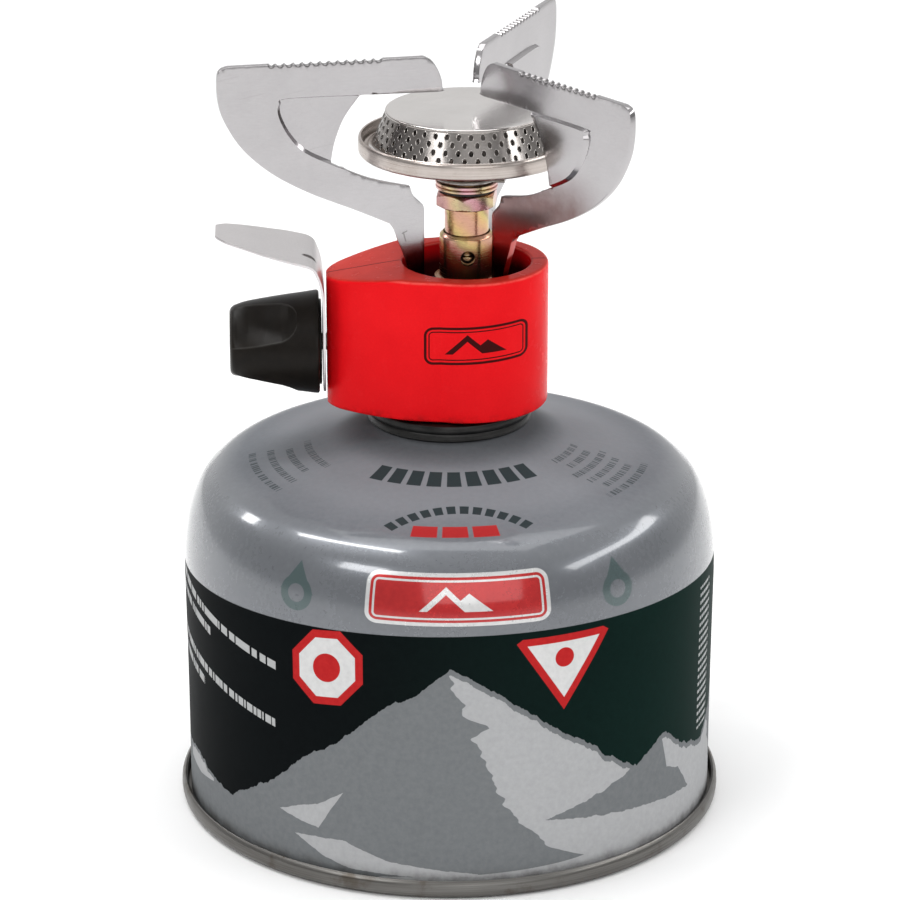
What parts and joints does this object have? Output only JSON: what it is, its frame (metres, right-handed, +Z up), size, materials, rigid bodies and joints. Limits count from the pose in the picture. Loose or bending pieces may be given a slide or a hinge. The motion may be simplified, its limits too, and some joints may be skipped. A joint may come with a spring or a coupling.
{
  "type": "canister stove",
  "caption": "Single-burner stove screwed onto a squat gas canister, with folding toothed pot supports, a control knob and a heat shield over it.",
  "frame": {"origin": "on the canister's axis at the height it stands on", "axes": "+Z up, the control knob points to -X"},
  "size_m": [0.1104, 0.1104, 0.1548],
  "materials": {
    "can_paint": "gloss",
    "tinplate": "satin",
    "red_plastic": "gloss",
    "black_plastic": "satin",
    "stainless": "satin",
    "burner_steel": "polished",
    "yellow_plate": "gloss",
    "rubber": "matte",
    "white_plastic": "matte",
    "dark_steel": "satin"
  },
  "bodies": {
    "canister": {"canister_body": "can_paint", "canister_base": "tinplate", "valve_cup": "dark_steel", "cup_gasket": "rubber", "valve_spigot": "tinplate", "stem_gasket": "rubber", "valve_housing": "white_plastic", "valve_spring": "stainless"},
    "canister_valve_stem": {"valve_stem": "yellow_plate"},
    "screw_carrier": {"inlet_seal": "rubber"},
    "stove": {"valve_body": "yellow_plate", "actuator_pin": "stainless", "gland_nut": "yellow_plate", "burner_tube": "yellow_plate", "gas_jet": "yellow_plate", "mixing_tube": "yellow_plate", "column_nut": "yellow_plate", "column_o_ring": "rubber", "burner_collar": "yellow_plate", "retaining_clip": "stainless", "burner_dish": "burner_steel", "burner_cap": "burner_steel", "housing_front": "red_plastic", "housing_rear": "red_plastic", "case_screw_right": "dark_steel", "case_screw_left": "dark_steel", "heat_shield": "stainless", "pot_support_left": "stainless", "swivel_ring_left": "dark_steel"},
    "spindle_carrier": {"spindle_o_ring": "rubber"},
    "knob": {"control_knob": "black_plastic", "needle_spindle": "stainless", "knob_screw": "stainless"},
    "support_right": {"pot_support_right": "stainless", "swivel_ring_right": "dark_steel"},
    "support_rear": {"pot_support_rear": "stainless", "swivel_ring_rear": "dark_steel"}
  },
  "joints": [
    {"name": "stem_travel", "type": "slide", "parent": "canister", "child": "canister_valve_stem", "axis": [0, 0, 1], "range_m": [-0.001, 0], "stiffness_N_per_m": 1200, "deforming": ["valve_spring"]},
    {"name": "stove_lift", "type": "slide", "parent": "canister", "child": "screw_carrier", "axis": [0, 0, 1], "range_m": [0, 0.00454]},
    {"name": "stove_turn", "type": "hinge", "parent": "screw_carrier", "child": "stove", "pos_m": [0, 0, 0.0885], "axis": [0, 0, 1], "range_deg": [0, 1800]},
    {"name": "knob_advance", "type": "slide", "parent": "stove", "child": "spindle_carrier", "axis": [-1, 0, 0], "range_m": [0, 0.0015]},
    {"name": "knob_turn", "type": "hinge", "parent": "spindle_carrier", "child": "knob", "pos_m": [-0.035, 0, 0.0963], "axis": [-1, 0, 0], "range_deg": [0, 720.2]},
    {"name": "right_support_swing", "type": "hinge", "parent": "stove", "child": "support_right", "pos_m": [0.0034, 0, 0.105], "axis": [0, 0, 1], "range_deg": [-87, 0]},
    {"name": "rear_support_swing", "type": "hinge", "parent": "stove", "child": "support_rear", "pos_m": [0.0034, 0, 0.105], "axis": [0, 0, 1], "range_deg": [0, 93]}
  ],
  "couplings": [
    {"joint": "stove_lift", "follows": "stove_turn", "m_per_rad": 0.00014435},
    {"joint": "knob_turn", "follows": "knob_advance", "rad_per_m": 8377.6}
  ]
}
